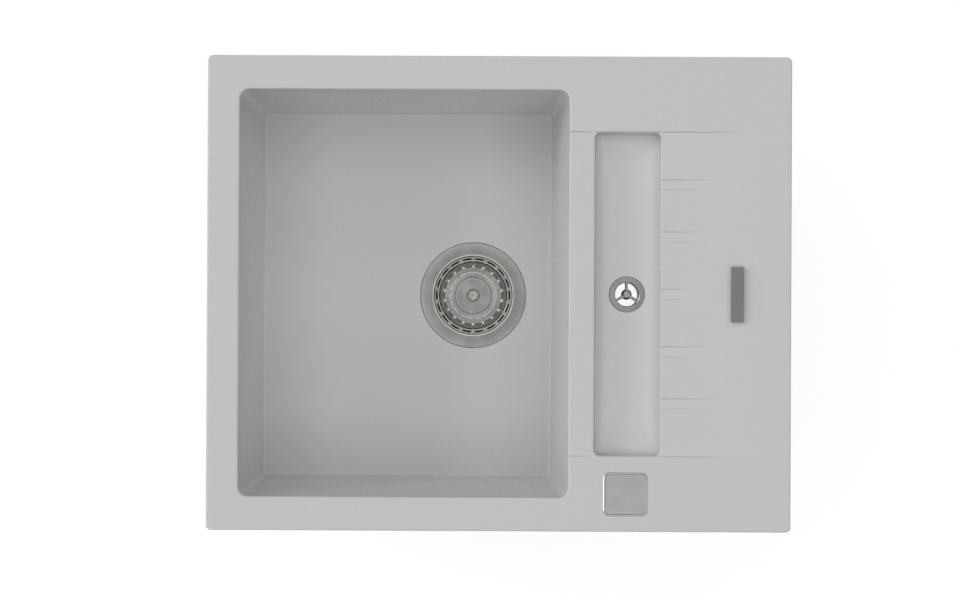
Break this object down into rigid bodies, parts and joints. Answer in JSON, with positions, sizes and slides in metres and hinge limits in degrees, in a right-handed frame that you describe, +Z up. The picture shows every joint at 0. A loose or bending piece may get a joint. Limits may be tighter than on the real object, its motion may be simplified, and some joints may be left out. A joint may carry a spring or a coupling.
{
  "type": "kitchen sink with drainboard",
  "caption": "Inset composite sink with a bowl, a pop-up basket strainer worked by a push control, a rinse trough that takes the overflow, and a fluted drainboard.",
  "frame": {"origin": "centre of the deck outline, on the plane of the worktop that the rim rests on", "axes": "+Z up, +X from the bowl towards the drainboard, +Y to the back"},
  "size_m": [0.615, 0.5, 0.2996],
  "materials": {
    "composite": "matte",
    "black_rubber": "matte",
    "adhesive_foam": "matte",
    "plain_steel": "satin",
    "strainer_steel": "satin",
    "bezel_chrome": "polished",
    "button_steel": "satin",
    "brass": "satin",
    "black_plastic": "matte",
    "grey_plastic": "matte",
    "dark_bar": "satin"
  },
  "bodies": {
    "sink": {"sink_body": "composite", "rim_seal": "black_rubber", "clamp_inserts": "brass", "clamp_screws": "plain_steel", "clamp_nuts": "black_plastic", "strainer_flange": "strainer_steel", "flange_seal": "black_rubber", "waste_seal": "black_rubber", "cup_seal": "black_rubber", "waste_cup": "black_plastic", "waste_chamber": "black_plastic", "guide_spider": "grey_plastic", "flange_screws": "plain_steel", "guide_bush": "brass", "shaft_seal": "black_rubber", "waste_cable_gland": "brass", "trough_grid": "strainer_steel", "trough_screw": "plain_steel", "trough_top_seal": "black_rubber", "trough_bottom_seal": "black_rubber", "trough_tail": "black_plastic", "trough_insert": "brass", "control_bezel": "bezel_chrome", "control_spring": "plain_steel", "control_tub": "black_plastic", "control_gasket": "black_rubber", "control_clamp_plate": "plain_steel", "control_backnut": "black_plastic", "control_cage": "grey_plastic", "control_cable_gland": "brass", "badge_bar": "dark_bar", "badge_pad": "adhesive_foam"},
    "push_button": {"control_button": "button_steel", "control_plunger": "grey_plastic"},
    "lifter": {"lift_pin": "plain_steel"},
    "basket": {"strainer_basket": "strainer_steel", "basket_stud": "strainer_steel", "seal_carrier": "black_plastic", "basket_seal": "black_rubber", "seal_nut": "brass"},
    "cam": {"cam_shaft": "plain_steel", "cam_lever": "grey_plastic", "cable_crank": "grey_plastic", "crank_screw": "plain_steel"},
    "clamp_front_left": {"clamp_arm_front_left": "plain_steel"},
    "clamp_front_right": {"clamp_arm_front_right": "plain_steel"},
    "clamp_back_left": {"clamp_arm_back_left": "plain_steel"},
    "clamp_back_right": {"clamp_arm_back_right": "plain_steel"},
    "clamp_left": {"clamp_arm_left": "plain_steel"},
    "clamp_right": {"clamp_arm_right": "plain_steel"}
  },
  "joints": [
    {"name": "button_push", "type": "slide", "parent": "sink", "child": "push_button", "axis": [0, 0, -1], "range_m": [0, 0.006], "stiffness_N_per_m": 500, "springref_m": -0.003, "deforming": ["control_spring"]},
    {"name": "strainer_lift", "type": "slide", "parent": "sink", "child": "lifter", "axis": [0, 0, 1], "range_m": [0, 0.008]},
    {"name": "basket_lift_out", "type": "slide", "parent": "lifter", "child": "basket", "axis": [0, 0, 1], "range_m": [0, 0.24]},
    {"name": "cam_turn", "type": "hinge", "parent": "sink", "child": "cam", "pos_m": [-0.0438, 0, -0.2484], "axis": [0, -1, 0], "range_deg": [0, 30]},
    {"name": "clamp_front_left_swing", "type": "hinge", "parent": "sink", "child": "clamp_front_left", "pos_m": [-0.21, -0.232, -0.046], "axis": [0, 0, -1], "range_deg": [0, 90]},
    {"name": "clamp_front_right_swing", "type": "hinge", "parent": "sink", "child": "clamp_front_right", "pos_m": [0.01, -0.232, -0.046], "axis": [0, 0, 1], "range_deg": [0, 90]},
    {"name": "clamp_back_left_swing", "type": "hinge", "parent": "sink", "child": "clamp_back_left", "pos_m": [-0.21, 0.232, -0.046], "axis": [0, 0, 1], "range_deg": [0, 90]},
    {"name": "clamp_back_right_swing", "type": "hinge", "parent": "sink", "child": "clamp_back_right", "pos_m": [0.01, 0.232, -0.046], "axis": [0, 0, -1], "range_deg": [0, 90]},
    {"name": "clamp_left_swing", "type": "hinge", "parent": "sink", "child": "clamp_left", "pos_m": [-0.2895, -0.06, -0.046], "axis": [0, 0, 1], "range_deg": [0, 90]},
    {"name": "clamp_right_swing", "type": "hinge", "parent": "sink", "child": "clamp_right", "pos_m": [0.2895, -0.06, -0.046], "axis": [0, 0, -1], "range_deg": [0, 90]}
  ],
  "couplings": [
    {"joint": "strainer_lift", "follows": "button_push", "ratio": 1.3333},
    {"joint": "cam_turn", "follows": "button_push", "rad_per_m": 87.2}
  ]
}
